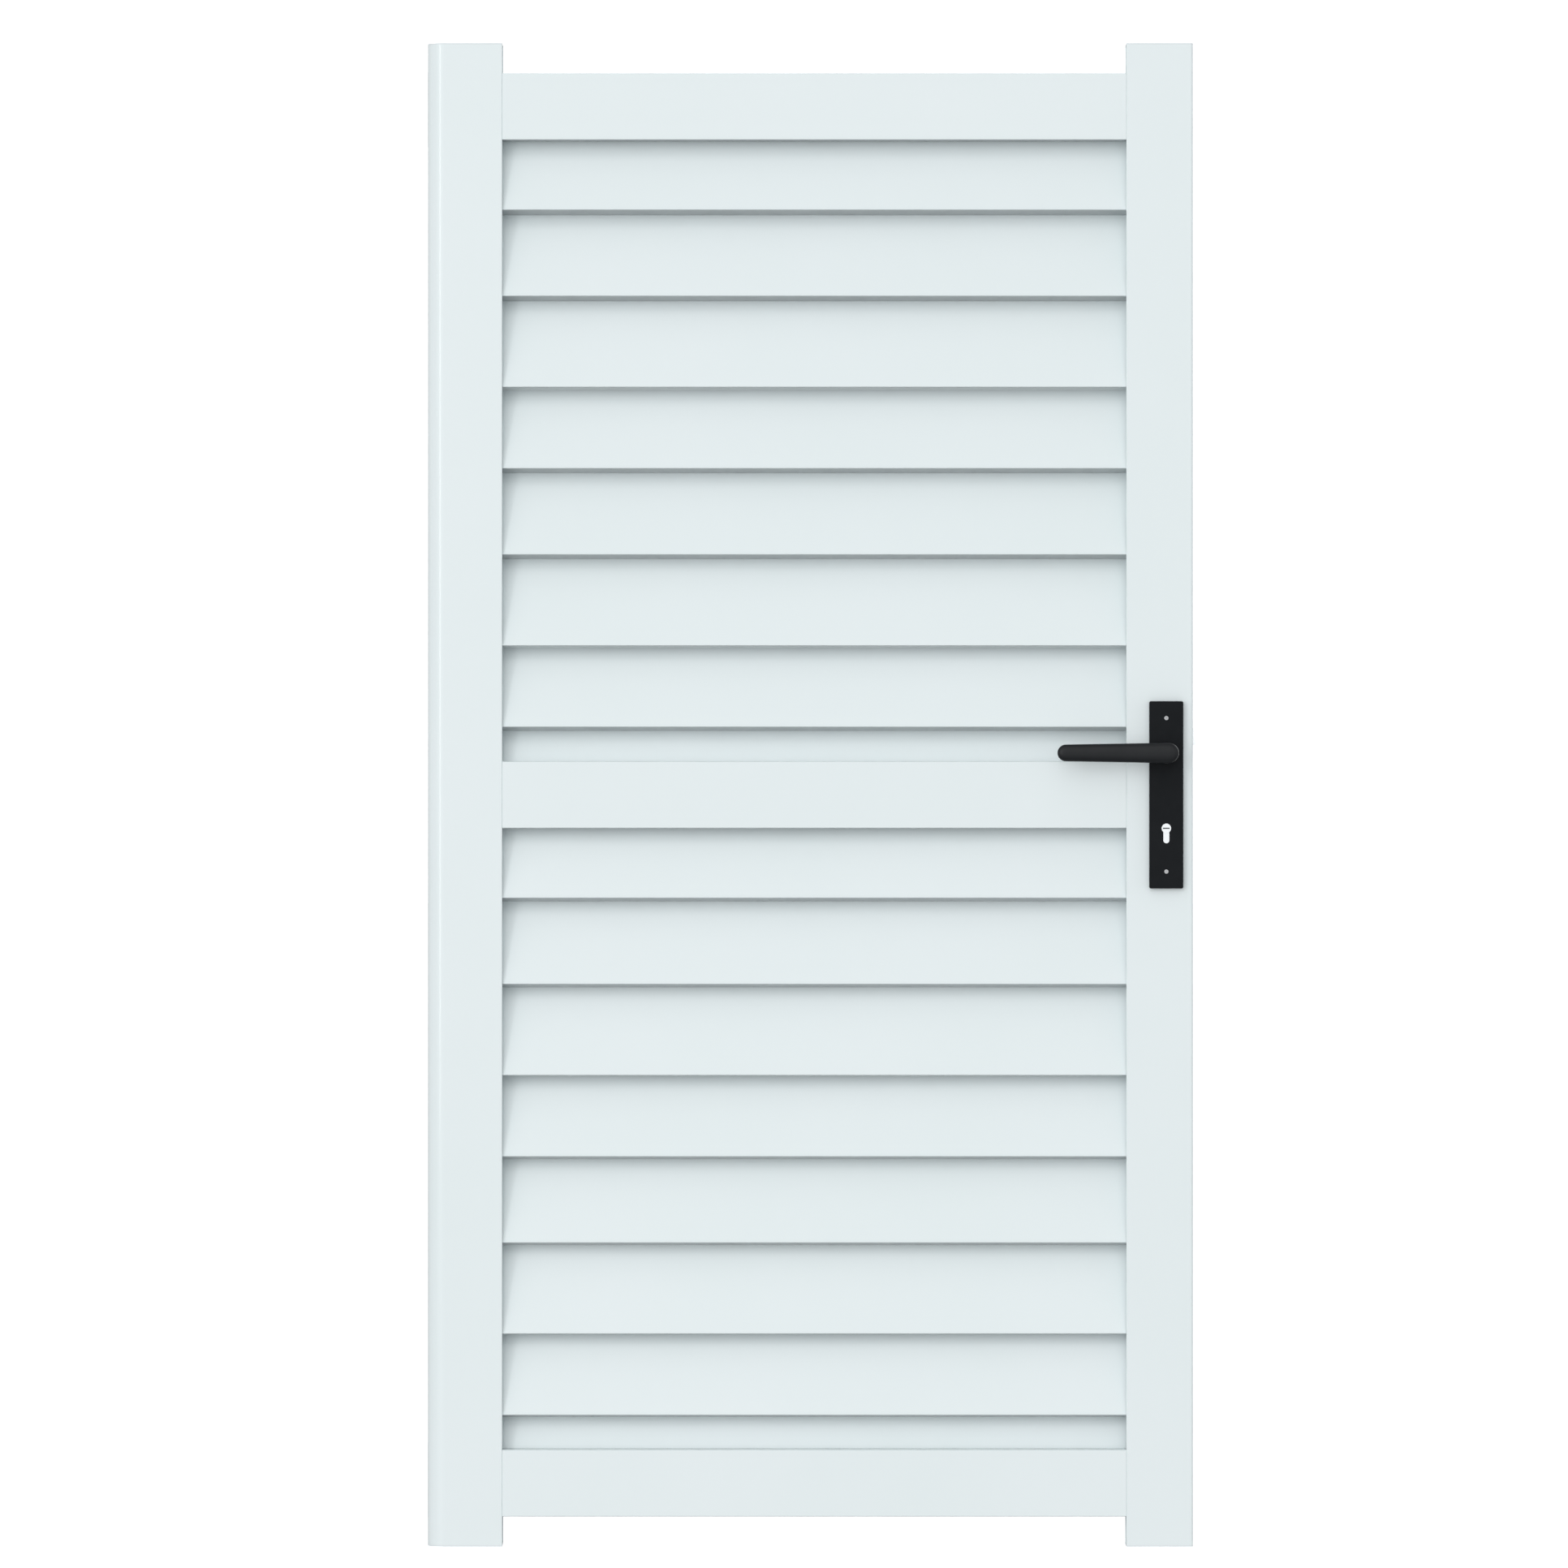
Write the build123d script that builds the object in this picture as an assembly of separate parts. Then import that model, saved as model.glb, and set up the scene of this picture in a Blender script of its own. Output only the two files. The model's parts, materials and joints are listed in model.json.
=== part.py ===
from build123d import *
import math
import os

os.makedirs("parts", exist_ok=True)

# Garden gate: one louvred aluminium leaf, hung on two rear hinges, with a lever lock.
# Millimetres. X to the right seen from outside, Y from the outside face to the garden, Z up.
# The leaf is drawn centred on X and Y with its foot at Z = 0, and moved to the row's origin,
# the middle of the lower hinge's fixing holes, when each node is written.

# ---- overall sizes ----
leaf_width = 917.0
leaf_height = 1800.0
leaf_depth = 40.0
hinge_stile_width = 90.0
lock_stile_width = 80.0
rail_height = 80.0
stile_overhang = 36.0
profile_wall = 2.0
cap_thickness = 2.0

# ---- small sizes shared by several pieces ----
hinge_side_arris = 1.2
lock_side_arris = 3.0
inner_arris = 1.2
running_clearance = 0.05
loose_clearance = 0.3
seat_clearance = 0.1
drive_fit = 0.02
cut_over = 1.0
cut_far = 60.0

# ---- louvre planks ----
louvre_depth_front = 5.0
louvre_face_start = 15.0
plank_back = 17.0
plank_wall = 1.5
groove_depth = 12.0
plank_end_play = 2.0
plank_play = 0.4
first_share = 0.8527
last_share = 0.3566
full_steps = 6
lip_lift = 4.3
joint_lip_drop = 1.6
lip_blunt = 0.8
tongue_thickness = 2.0
tongue_height = 8.0

# ---- handle and lock ----
spindle_height = 950.0
backset = 32.5
spindle_to_cylinder = 90.0
plate_width = 40.5
plate_length = 224.0
plate_above_spindle = 62.0
plate_thickness = 9.5
plate_front_wall = 1.5
plate_side_wall = 2.2
plate_corner = 2.0
plate_edge_round = 1.0
plate_bolt_inset = 20.2
spindle_size = 8.0
lever_length = 145.0
lever_pivot_radius = 12.2
lever_end_radius = 10.1
lever_overhang = 13.5
lever_thickness = 12.0
lever_projection = 50.0
lever_spigot_radius = 9.0
lever_shoulder = 1.0
handle_travel = 40.0
latch_projection = 9.0
latch_travel = 10.0
deadbolt_travel = 20.0

# ---- hinges ----
hinge_length = 90.0
hinge_knuckle_radius = 8.0
hinge_pin_radius = 4.0
hinge_plate_thickness = 4.0
pillar_gap = 1.5
pillar_plate_thickness = 5.0
pillar_plate_reach = 56.0
leaf_plate_reach = 66.0
fixing_spacing_y = 26.0
fixing_spacing_z = 62.0
fixing_hole_radius = 3.25
fixing_from_knuckle = 8.0
knuckle_inset = 0.5

# ---- places that follow from the sizes ----
half_depth = leaf_depth / 2
leaf_left = -leaf_width / 2
leaf_right = leaf_width / 2
opening_left = leaf_left + hinge_stile_width
opening_right = leaf_right - lock_stile_width
middle_rail_z = leaf_height / 2
bottom_rail_z = stile_overhang + rail_height / 2
top_rail_z = leaf_height - stile_overhang - rail_height / 2
rail_centres = [bottom_rail_z, middle_rail_z, top_rail_z]
panel_height = top_rail_z - middle_rail_z - rail_height
louvre_front = -half_depth + louvre_depth_front
louvre_pitch = panel_height / (first_share + full_steps + last_share)
groove_front = louvre_front - plank_play
groove_back = plank_back + plank_play
spindle_x = leaf_right - backset
cylinder_z = spindle_height - spindle_to_cylinder
plate_top = spindle_height + plate_above_spindle
plate_bottom = plate_top - plate_length
plate_bolt_heights = [plate_top - plate_bolt_inset, plate_bottom + plate_bolt_inset]
plate_face = half_depth + plate_thickness
lever_neck_radius = lever_spigot_radius + lever_shoulder
hinge_x = leaf_left + hinge_knuckle_radius + knuckle_inset
hinge_y = half_depth + hinge_plate_thickness + hinge_knuckle_radius
pillar_x = leaf_left - pillar_gap
fixing_y = hinge_y + hinge_knuckle_radius + fixing_from_knuckle + fixing_spacing_y / 2
origin = (pillar_x, fixing_y, bottom_rail_z)


# ---- drawing helpers ----
def block(x_range, y_range, z_range):
    size = [high - low for low, high in (x_range, y_range, z_range)]
    middle = [(high + low) / 2 for low, high in (x_range, y_range, z_range)]
    return Pos(*middle) * Box(*size)


def rod_x(radius, x_range, y, z):
    length = x_range[1] - x_range[0]
    return Pos(sum(x_range) / 2, y, z) * Rot(0, 90, 0) * Cylinder(radius, length)


def rod_y(radius, x, y_range, z):
    length = y_range[1] - y_range[0]
    return Pos(x, sum(y_range) / 2, z) * Rot(90, 0, 0) * Cylinder(radius, length)


def rod_z(radius, x, y, z_range):
    length = z_range[1] - z_range[0]
    return Pos(x, y, sum(z_range) / 2) * Cylinder(radius, length)


def upright(plan, z_range):
    return extrude(Plane.XY.offset(z_range[0]) * plan, z_range[1] - z_range[0])


def across(section, x_range):
    return extrude(Plane.YZ.offset(x_range[0]) * section, x_range[1] - x_range[0])


def through(outline, y_range):
    return extrude(Plane.XZ.offset(-y_range[1]) * outline, y_range[1] - y_range[0])


def rectangle(x_range, y_range):
    corners = [
        (x_range[0], y_range[0]),
        (x_range[1], y_range[0]),
        (x_range[1], y_range[1]),
        (x_range[0], y_range[1]),
    ]
    return make_face(Polyline(*corners, close=True))


def round_corners(sketch, x_near, radius):
    corners = [v for v in sketch.vertices() if abs(v.X - x_near) < 0.01]
    return fillet(corners, radius)


def back_side(shape):
    return mirror(shape, about=Plane.XZ)


def together(shapes):
    return Compound([solid for shape in shapes for solid in shape.solids()])


def place(shape, point, outward):
    return Plane(origin=point, z_dir=outward).location * shape


def countersunk(head_radius, shank_radius, length, recess):
    cone_height = head_radius - shank_radius
    head = Pos(0, 0, -cone_height / 2) * Cone(shank_radius, head_radius, cone_height)
    shank = Pos(0, 0, -length / 2) * Cylinder(shank_radius, length)
    screw = head + shank
    if recess:
        socket_depth = 1.4
        socket_share = 0.42
        socket = RegularPolygon(head_radius * socket_share, 6)
        screw -= extrude(Plane.XY.offset(-socket_depth) * socket, socket_depth + cut_over)
    return screw


def screw_hole(head_radius, shank_radius, length):
    head_room = head_radius + seat_clearance
    shank_room = shank_radius + seat_clearance
    room = countersunk(head_room, shank_room, length + cut_over, False)
    return room + Pos(0, 0, cut_over) * Cylinder(head_room, 2 * cut_over)


def coil(mean_radius, wire_radius, turns, length):
    path = Helix(pitch=length / turns, height=length, radius=mean_radius)
    section = Plane(origin=path @ 0, z_dir=path % 0) * Circle(wire_radius)
    return sweep(section, path=path, is_frenet=True)


def keyhole_shape(ring_radius, foot_radius, foot_drop):
    leg = rectangle((-foot_radius, foot_radius), (-foot_drop, 0))
    foot = Pos(0, -foot_drop) * Circle(foot_radius)
    return Circle(ring_radius) + leg + foot


# ---- uprights ----
def hinge_stile_plan():
    nose = Pos(leaf_left + half_depth, 0) * Circle(half_depth)
    body = rectangle((leaf_left + half_depth, opening_left), (-half_depth, half_depth))
    return round_corners(nose + body, opening_left, hinge_side_arris)


def lock_stile_plan():
    body = rectangle((opening_right, leaf_right), (-half_depth, half_depth))
    body = round_corners(body, leaf_right, lock_side_arris)
    return round_corners(body, opening_right, inner_arris)


def hinge_chamber_plan(inset):
    radius = half_depth - inset
    right = opening_left - groove_depth - inset
    nose = Pos(leaf_left + half_depth, 0) * Circle(radius)
    return nose + rectangle((leaf_left + half_depth, right), (-radius, radius))


def lock_chamber_plan(inset):
    reach = half_depth - inset
    left = opening_right + groove_depth + inset
    return rectangle((left, leaf_right - inset), (-reach, reach))


stile_z = (cap_thickness, leaf_height - cap_thickness)
groove_y = (groove_front, groove_back)

hinge_section = hinge_stile_plan() - hinge_chamber_plan(profile_wall)
hinge_groove_x = (opening_left - groove_depth, opening_left + cut_over)
hinge_section -= rectangle(hinge_groove_x, groove_y)
hinge_stile = upright(hinge_section, stile_z)

lock_section = lock_stile_plan() - lock_chamber_plan(profile_wall)
lock_groove_x = (opening_right - cut_over, opening_right + groove_depth)
lock_section -= rectangle(lock_groove_x, groove_y)
lock_stile = upright(lock_section, stile_z)


# ---- caps that close the uprights ----
skirt_length = 12.0
skirt_wall = 2.0


def cap(plan, chamber, z_range, skirt_range):
    skirt = upright(chamber(profile_wall + seat_clearance), skirt_range)
    hollow = upright(chamber(profile_wall + skirt_wall), skirt_range)
    return upright(plan, z_range) + (skirt - hollow)


def cap_pair(plan, chamber):
    foot_z = (0, cap_thickness)
    foot = cap(plan, chamber, foot_z, (cap_thickness, cap_thickness + skirt_length))
    head_z = (leaf_height - cap_thickness, leaf_height)
    head = cap(plan, chamber, head_z, (head_z[0] - skirt_length, head_z[0]))
    return together([foot, head])


hinge_stile_caps = cap_pair(hinge_stile_plan(), hinge_chamber_plan)
lock_stile_caps = cap_pair(lock_stile_plan(), lock_chamber_plan)

# ---- rails, their connectors and screws ----
connector_reach = 50.0
connector_tongue = 10.0
connector_wall = 5.0
rail_screw_offsets = [15.0, 35.0]
rail_screw_length = 14.0
screw_head_radius = 4.2
screw_shank_radius = 2.4
rail_section = RectangleRounded(leaf_depth, rail_height, inner_arris)
rail_section -= Rectangle(leaf_depth - 2 * profile_wall, rail_height - 2 * profile_wall)


def connector(edge_x, inward, z):
    reach = sorted((edge_x, edge_x + inward * connector_reach))
    tongue = sorted((edge_x, edge_x - inward * connector_tongue))
    half_y = half_depth - profile_wall - seat_clearance
    half_z = rail_height / 2 - profile_wall - seat_clearance
    body = block(reach, (-half_y, half_y), (z - half_z, z + half_z))
    far = edge_x + inward * (connector_reach + cut_over)
    near = edge_x + inward * connector_wall
    pocket_y = half_y - connector_wall
    pocket_z = half_z - connector_wall
    pocket = sorted((near, far))
    body -= block(pocket, (-pocket_y, pocket_y), (z - pocket_z, z + pocket_z))
    tongue_y = (groove_front + seat_clearance, groove_back - seat_clearance)
    return body + block(tongue, tongue_y, (z - half_z, z + half_z))


connectors = []
rail_screw_places = []
stile_screw_places = []
for rail_z in rail_centres:
    for edge_x, inward in ((opening_left, 1), (opening_right, -1)):
        connectors.append(connector(edge_x, inward, rail_z))
        for offset in rail_screw_offsets:
            rail_screw_places.append((edge_x + inward * offset, half_depth, rail_z))
        for rise in (-rail_height / 4, rail_height / 4):
            lip_x = edge_x - inward * connector_tongue / 2
            stile_screw_places.append((lip_x, half_depth, rail_z + rise))

frame_screw = countersunk(screw_head_radius, screw_shank_radius, rail_screw_length, True)
frame_hole = screw_hole(screw_head_radius, screw_shank_radius, rail_screw_length)
to_garden = (0, 1, 0)
rail_holes = [place(frame_hole, p, to_garden) for p in rail_screw_places]
stile_holes = [place(frame_hole, p, to_garden) for p in stile_screw_places]
rail_screws = together([place(frame_screw, p, to_garden) for p in rail_screw_places])
stile_screws = together([place(frame_screw, p, to_garden) for p in stile_screw_places])


def near(holes, centre_z):
    return [h for h in holes if abs(h.center().Z - centre_z) < rail_height]


rails = []
for rail_z in rail_centres:
    rail = Pos(0, 0, rail_z) * across(rail_section, (opening_left, opening_right))
    rails.append(rail - near(rail_holes, rail_z))
bottom_rail, middle_rail, top_rail = rails
frame_holes = rail_holes + stile_holes
connectors = [piece - near(frame_holes, piece.center().Z) for piece in connectors]
rail_connectors = together(connectors)
hinge_stile -= stile_holes
lock_stile -= stile_holes


# ---- louvre planks ----
def crossing(point_a, way_a, point_b, way_b):
    cross = way_a[0] * way_b[1] - way_a[1] * way_b[0]
    gap = (point_b[0] - point_a[0], point_b[1] - point_a[1])
    along = (gap[0] * way_b[1] - gap[1] * way_b[0]) / cross
    return (point_a[0] + along * way_a[0], point_a[1] + along * way_a[1])


def shifted(start, end, distance):
    way = (end[0] - start[0], end[1] - start[1])
    length = math.hypot(*way)
    side = (-way[1] / length * distance, way[0] / length * distance)
    return (start[0] + side[0], start[1] + side[1]), way


def face_line(panel_top, step):
    return panel_top - louvre_pitch * (first_share + step - 1)


def louvre_step(panel_top, step, is_last):
    top_z = face_line(panel_top, step)
    foot_z = face_line(panel_top, step + 1)
    lip_z = foot_z - joint_lip_drop if is_last else foot_z + lip_lift
    outline = [
        (plank_back, top_z),
        (louvre_face_start, top_z),
        (louvre_front, lip_z + lip_blunt),
        (louvre_front + lip_blunt, lip_z),
        (louvre_face_start, foot_z),
        (plank_back, foot_z),
    ]
    return make_face(Polyline(*outline, close=True))


def louvre_hollow(panel_top, step, is_last):
    top_z = face_line(panel_top, step)
    foot_z = face_line(panel_top, step + 1)
    lip_z = foot_z - joint_lip_drop if is_last else foot_z + lip_lift
    lip = (louvre_front, lip_z)
    foot_wall = plank_wall + (tongue_height + plank_wall if is_last else 0)
    face, face_way = shifted((louvre_face_start, top_z), lip, plank_wall)
    foot, foot_way = shifted(lip, (louvre_face_start, foot_z), foot_wall)
    back = (plank_back - plank_wall, top_z)
    back_way = (0, 1)
    corners = [
        crossing(face, face_way, back, back_way),
        crossing(face, face_way, foot, foot_way),
        crossing(foot, foot_way, back, back_way),
    ]
    return make_face(Polyline(*corners, close=True))


tongue_step = 3 * plank_play
slot_above = 4.0
tongue_front = plank_back - 2 * tongue_thickness - plank_play
tongue_y = (tongue_front, tongue_front + tongue_thickness)


def plank(panel_top, steps, joined_above, joined_below):
    panel_foot = panel_top - panel_height
    solid = None
    hollows = []
    for step in steps:
        is_last = joined_below and step == steps[-1]
        outline = louvre_step(panel_top, step, is_last)
        solid = outline if solid is None else solid + outline
        hollows.append(louvre_hollow(panel_top, step, is_last))
    depth_range = (louvre_front - cut_over, plank_back + cut_over)
    solid &= rectangle(depth_range, (panel_foot, panel_top))
    safe = rectangle(depth_range, (panel_foot + plank_wall, panel_top - plank_wall))
    for hollow in hollows:
        solid -= hollow & safe
    if joined_above:
        joint_z = face_line(panel_top, steps[0])
        root = (joint_z - tongue_step - tongue_thickness, joint_z - tongue_step)
        solid += rectangle((tongue_front, plank_back), root)
        solid += rectangle(tongue_y, (root[0], joint_z + tongue_height - plank_play))
        behind = (tongue_y[1], plank_back + cut_over)
        solid -= rectangle(behind, (root[1], joint_z + cut_over))
    if joined_below:
        joint_z = face_line(panel_top, steps[-1] + 1)
        slot_y = (tongue_y[0] - plank_play, tongue_y[1] + plank_play)
        solid -= rectangle(slot_y, (joint_z - slot_above, joint_z + tongue_height))
    hidden = groove_depth - plank_end_play
    return across(solid, (opening_left - hidden, opening_right + hidden))


upper_panel_top = top_rail_z - rail_height / 2
lower_panel_top = middle_rail_z - rail_height / 2
plank_steps = [([0, 1, 2], False, True), ([3, 4, 5], True, True), ([6, 7], True, False)]
upper_planks = [plank(upper_panel_top, *steps) for steps in plank_steps]
lower_planks = [plank(lower_panel_top, *steps) for steps in plank_steps]


# ---- hinges ----
knuckle_gap = 1.5
knuckle_length = (hinge_length - 2 * knuckle_gap) / 3
bush_play = 0.25
bush_flange = knuckle_gap - 2 * bush_play
bush_radius = 5.5
bush_length = 12.0
bush_flange_step = 0.4
hinge_plate_corner = 6.0
shoulder_reach = (-3.0, 5.0)
shoulder_root = 0.5
pin_tail = 3.0
pin_head_step = 2.0
pin_head_height = 2.5
pin_head_chamfer = 0.8
hinge_screw_length = 10.0
hinge_screw_reach = [10.0, 34.0]
hinge_screw_x = [leaf_left + half_depth + reach for reach in hinge_screw_reach]
hinge_screw_rise = 31.0


def knuckle_ranges(centre_z):
    foot = centre_z - hinge_length / 2
    step = knuckle_length + knuckle_gap
    return [(foot + n * step, foot + n * step + knuckle_length) for n in range(3)]


def pillar_hinge(centre_z):
    span = (centre_z - hinge_length / 2, centre_z + hinge_length / 2)
    plate_x = (pillar_x, pillar_x + pillar_plate_thickness)
    plate = block(plate_x, (hinge_y, hinge_y + pillar_plate_reach), span)
    lower, middle, upper = knuckle_ranges(centre_z)
    room = hinge_knuckle_radius + knuckle_gap
    window_z = (middle[0] - knuckle_gap, middle[1] + knuckle_gap)
    plate -= rod_z(room, hinge_x, hinge_y, window_z)
    for knuckle in (lower, upper):
        plate += rod_z(hinge_knuckle_radius, hinge_x, hinge_y, knuckle)
        plate -= rod_z(hinge_pin_radius + drive_fit, hinge_x, hinge_y, knuckle)
    for dy in (-fixing_spacing_y / 2, fixing_spacing_y / 2):
        for dz in (-fixing_spacing_z / 2, fixing_spacing_z / 2):
            hole_x = (plate_x[0] - cut_over, plate_x[1] + cut_over)
            plate -= rod_x(fixing_hole_radius, hole_x, fixing_y + dy, centre_z + dz)
    return plate


def hinge_screw_points(centre_z):
    face_y = half_depth + hinge_plate_thickness
    return [
        (x, face_y, centre_z + dz)
        for x in hinge_screw_x
        for dz in (-hinge_screw_rise, hinge_screw_rise)
    ]


hinge_screw = countersunk(screw_head_radius, screw_shank_radius, hinge_screw_length, True)
hinge_hole = screw_hole(screw_head_radius, screw_shank_radius, hinge_screw_length)


def leaf_hinge(centre_z):
    lower, middle, upper = knuckle_ranges(centre_z)
    right = hinge_x + leaf_plate_reach
    left = hinge_x + hinge_knuckle_radius + knuckle_gap
    plate_y = (half_depth, half_depth + hinge_plate_thickness)
    span = (centre_z - hinge_length / 2, centre_z + hinge_length / 2)
    plate = block((left, right), plate_y, span)
    corners = plate.edges().filter_by(Axis.Y).sort_by(Axis.X)[-2:]
    plate = fillet(corners, hinge_plate_corner)
    web = block((hinge_x, left), plate_y, middle)
    shoulder_x = (hinge_x + shoulder_reach[0], hinge_x + shoulder_reach[1])
    shoulder = block(shoulder_x, (plate_y[1] - shoulder_root, hinge_y), middle)
    plate += web + shoulder
    plate += rod_z(hinge_knuckle_radius, hinge_x, hinge_y, middle)
    plate -= rod_z(bush_radius, hinge_x, hinge_y, middle)
    for point in hinge_screw_points(centre_z):
        plate -= place(hinge_hole, point, to_garden)
    return plate


def hinge_bush(z, way):
    sleeve_z = sorted((z, z + way * bush_length))
    sleeve = rod_z(bush_radius - drive_fit, hinge_x, hinge_y, sleeve_z)
    flange_z = sorted((z, z - way * bush_flange))
    flange = rod_z(hinge_knuckle_radius - bush_flange_step, hinge_x, hinge_y, flange_z)
    bore_z = sorted((z + way * (bush_length + cut_over), z - way * (bush_flange + cut_over)))
    bore = rod_z(hinge_pin_radius + running_clearance, hinge_x, hinge_y, bore_z)
    return sleeve + flange - bore


def hinge_pin(centre_z):
    top = centre_z + hinge_length / 2
    shank_z = (top - hinge_length - pin_tail, top)
    shank = rod_z(hinge_pin_radius, hinge_x, hinge_y, shank_z)
    head_z = (top, top + pin_head_height)
    head = rod_z(hinge_pin_radius + pin_head_step, hinge_x, hinge_y, head_z)
    return shank + chamfer(head.edges().sort_by(Axis.Z)[-1], pin_head_chamfer)


hinge_heights = [bottom_rail_z, top_rail_z]
bottom_pillar_hinge, top_pillar_hinge = [pillar_hinge(z) for z in hinge_heights]
bottom_leaf_hinge, top_leaf_hinge = [leaf_hinge(z) for z in hinge_heights]
hinge_pins = together([hinge_pin(z) for z in hinge_heights])
bushes = []
hinge_screw_list = []
for hinge_z in hinge_heights:
    middle_knuckle = knuckle_ranges(hinge_z)[1]
    bushes.append(hinge_bush(middle_knuckle[0], 1))
    bushes.append(hinge_bush(middle_knuckle[1], -1))
    for point in hinge_screw_points(hinge_z):
        hinge_screw_list.append(place(hinge_screw, point, to_garden))
        hinge_stile -= place(hinge_hole, point, to_garden)
hinge_bushes = together(bushes)
hinge_screws = together(hinge_screw_list)

# ---- handle plates ----
bush_wall = 2.5
bush_bore = lever_spigot_radius + bush_wall
lever_bush_depth = 4.0
spring_shelf = 2.0
spring_bore = bush_bore + spring_shelf
boss_wall = 2.0
boss_radius = spring_bore + boss_wall
bolt_boss_radius = 6.0
bolt_head_radius = 2.75
bolt_head_depth = 1.8
bolt_head_sink = 0.15
bolt_head_round = 0.5
bolt_socket_radius = 1.3
bolt_socket_depth = 1.3
bolt_radius = 2.0
sleeve_radius = 2.6
keyhole_ring = 5.75
keyhole_slot = 3.65
keyhole_height = 23.7
plate_x = (spindle_x - plate_width / 2, spindle_x + plate_width / 2)
plate_z = (plate_bottom, plate_top)


def handle_plate():
    slab = block(plate_x, (-plate_face, -half_depth), plate_z)
    slab = fillet(slab.edges().filter_by(Axis.Y), plate_corner)
    slab = fillet(slab.faces().sort_by(Axis.Y)[0].edges(), plate_edge_round)
    inner_x = (plate_x[0] + plate_side_wall, plate_x[1] - plate_side_wall)
    inner_z = (plate_z[0] + plate_side_wall, plate_z[1] - plate_side_wall)
    hollow_front = -plate_face + plate_front_wall
    hollow = block(inner_x, (hollow_front, -half_depth + cut_over), inner_z)
    boss_y = (hollow_front, -half_depth)
    hollow -= rod_y(boss_radius, spindle_x, boss_y, spindle_height)
    for z in plate_bolt_heights:
        hollow -= rod_y(bolt_boss_radius, spindle_x, boss_y, z)
    slab -= hollow
    whole = (-plate_face - cut_over, -half_depth + cut_over)
    slab -= rod_y(bush_bore, spindle_x, whole, spindle_height)
    spring_y = (-plate_face + lever_bush_depth, whole[1])
    slab -= rod_y(spring_bore, spindle_x, spring_y, spindle_height)
    keyhole_drop = keyhole_height - keyhole_ring - keyhole_slot
    keyhole = keyhole_shape(keyhole_ring, keyhole_slot, keyhole_drop)
    slab -= through(Pos(spindle_x, cylinder_z) * keyhole, whole)
    for z in plate_bolt_heights:
        head_y = (whole[0], -plate_face + bolt_head_depth)
        slab -= rod_y(bolt_head_radius + seat_clearance, spindle_x, head_y, z)
        slab -= rod_y(sleeve_radius + seat_clearance, spindle_x, whole, z)
    return slab


front_handle_plate = handle_plate()
back_handle_plate = back_side(front_handle_plate)


# ---- bolts that clamp the two plates through the upright ----
bolt_end_y = half_depth - 14.0
sleeve_end_y = -half_depth + 6.0
sleeve_blind = 6.0


def bolt_socket(z):
    socket = Pos(spindle_x, z) * RegularPolygon(bolt_socket_radius, 6)
    return through(socket, (-plate_face - cut_over, -plate_face + bolt_socket_depth))


def plate_bolt(z):
    head_y = (-plate_face + bolt_head_sink, -plate_face + bolt_head_depth)
    head = rod_y(bolt_head_radius, spindle_x, head_y, z)
    head = fillet(head.edges().sort_by(Axis.Y)[0], bolt_head_round)
    shank = rod_y(bolt_radius, spindle_x, (head_y[1], bolt_end_y), z)
    return head + shank - bolt_socket(z)


def sleeve_nut(z):
    head_y = (plate_face - bolt_head_depth, plate_face - bolt_head_sink)
    head = rod_y(bolt_head_radius, spindle_x, head_y, z)
    head = fillet(head.edges().sort_by(Axis.Y)[-1], bolt_head_round)
    sleeve = rod_y(sleeve_radius, spindle_x, (sleeve_end_y, head_y[0]), z)
    bore_y = (sleeve_end_y - cut_over, bolt_end_y + sleeve_blind)
    sleeve -= rod_y(bolt_radius + running_clearance, spindle_x, bore_y, z)
    return head + sleeve - back_side(bolt_socket(z))


plate_bolts = together([plate_bolt(z) for z in plate_bolt_heights])
sleeve_nuts = together([sleeve_nut(z) for z in plate_bolt_heights])

# ---- levers, spindle and return springs ----
lever_front_y = -half_depth - lever_projection
lever_back_y = lever_front_y + lever_thickness
lever_front_round = 4.0
lever_back_round = 2.5
lever_neck_root = 4.0
lever_neck_gap = 2.0
spigot_gap = 0.5
spindle_engagement = 18.0
socket_end = -plate_face - spindle_engagement
spindle_end_play = 0.5
grub_from_plate = 10.0
grub_y = -plate_face - grub_from_plate
grub_radius = 2.5
grub_sink = 0.6
grub_socket_radius = 1.4
grub_socket_depth = 2.0
bush_rim = 0.9
bush_rim_thickness = 1.2
bush_squeeze = 0.03
return_wire = 0.55
return_turns = 2.75
return_length = 3.9
spring_gap = 0.15


def lever():
    pivot = Pos(lever_overhang - lever_pivot_radius, 0) * Circle(lever_pivot_radius)
    tip_x = lever_overhang - lever_length + lever_end_radius
    tip = Pos(tip_x, 0) * Circle(lever_end_radius)
    outline = make_hull(pivot.edges() + tip.edges())
    bar = through(Pos(spindle_x, spindle_height) * outline, (lever_front_y, lever_back_y))
    bar = fillet(bar.faces().sort_by(Axis.Y)[0].edges(), lever_front_round)
    bar = fillet(bar.faces().sort_by(Axis.Y)[-1].edges(), lever_back_round)
    neck_y = (lever_back_y - lever_neck_root, -plate_face - lever_neck_gap)
    bar += rod_y(lever_neck_radius, spindle_x, neck_y, spindle_height)
    spigot_y = (neck_y[1] - cut_over, -half_depth - spigot_gap)
    bar += rod_y(lever_spigot_radius, spindle_x, spigot_y, spindle_height)
    half = spindle_size / 2 + running_clearance
    socket_x = (spindle_x - half, spindle_x + half)
    socket_z = (spindle_height - half, spindle_height + half)
    bar -= block(socket_x, (socket_end, 0), socket_z)
    grub_z = (spindle_height - lever_neck_radius - cut_over, spindle_height)
    bar -= rod_z(grub_radius + running_clearance, spindle_x, grub_y, grub_z)
    return bar


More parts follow.
